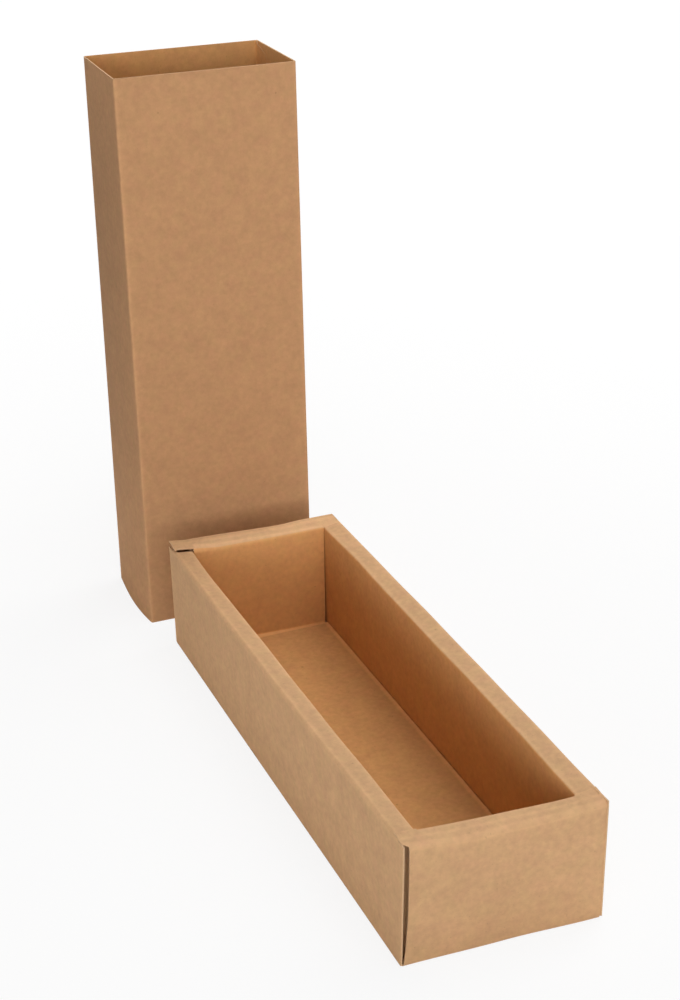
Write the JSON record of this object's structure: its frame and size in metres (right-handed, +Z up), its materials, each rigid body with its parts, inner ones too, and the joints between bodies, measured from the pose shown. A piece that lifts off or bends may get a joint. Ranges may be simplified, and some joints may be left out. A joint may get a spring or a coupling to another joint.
{
  "type": "sliding drawer gift box",
  "caption": "Long folded kraft board drawer box: an open tray with hollow double walls and framed rims, and a rectangular sleeve open at both ends that slides over it.",
  "frame": {"origin": "centre of the tray's underside, where the tray rests", "axes": "+Y along the tray from its front end to its back end and the standing sleeve, +X to the tray's right, +Z up"},
  "size_m": [0.0765, 0.2956, 0.228],
  "materials": {
    "kraft_board_tray": "uncoated brown kraft board, matt",
    "kraft_board_inside": "uncoated brown kraft board, matt",
    "kraft_board_sleeve": "uncoated brown kraft board, matt"
  },
  "bodies": {
    "sleeve_back": {"sleeve_back_panel": "kraft_board_sleeve"},
    "sleeve_left": {"sleeve_left_panel": "kraft_board_sleeve"},
    "sleeve_front": {"sleeve_front_panel": "kraft_board_sleeve"},
    "sleeve_right": {"sleeve_right_panel": "kraft_board_sleeve", "sleeve_glue_flap": "kraft_board_sleeve"},
    "tray": {"tray_base": "kraft_board_tray", "floor_liner": "kraft_board_inside", "left_outer_wall": "kraft_board_tray", "left_rim": "kraft_board_tray", "left_inner_wall": "kraft_board_inside", "right_outer_wall": "kraft_board_tray", "right_rim": "kraft_board_tray", "right_inner_wall": "kraft_board_inside", "right_foot_flange": "kraft_board_inside", "front_outer_wall": "kraft_board_tray", "front_rim": "kraft_board_tray", "front_inner_wall": "kraft_board_inside", "front_tuck_flap": "kraft_board_inside", "back_outer_wall": "kraft_board_tray", "back_rim": "kraft_board_tray", "back_inner_wall": "kraft_board_inside", "back_tuck_flap": "kraft_board_inside", "front_left_corner_flap": "kraft_board_tray", "front_right_corner_flap": "kraft_board_tray", "back_left_corner_flap": "kraft_board_tray", "back_right_corner_flap": "kraft_board_tray"}
  },
  "joints": [
    {"name": "tray_slide", "type": "slide", "parent": "sleeve_back", "child": "tray", "axis": [0, -1, 0], "range_m": [0, 0.228]},
    {"name": "sleeve_fold", "type": "hinge", "parent": "sleeve_back", "child": "sleeve_left", "pos_m": [-0.0391, 0.1811, 0], "axis": [0, 0, 1], "range_deg": [0, 85]},
    {"name": "sleeve_fold_right", "type": "hinge", "parent": "sleeve_back", "child": "sleeve_right", "pos_m": [0.0322, 0.1816, 0], "axis": [0, 0, 1], "range_deg": [0, 85]},
    {"name": "sleeve_fold_front", "type": "hinge", "parent": "sleeve_left", "child": "sleeve_front", "pos_m": [-0.0396, 0.135, 0], "axis": [0, 0, 1], "range_deg": [-85, 0]}
  ],
  "couplings": [
    {"joint": "sleeve_fold_right", "follows": "sleeve_fold", "ratio": 1},
    {"joint": "sleeve_fold_front", "follows": "sleeve_fold", "ratio": -1}
  ]
}
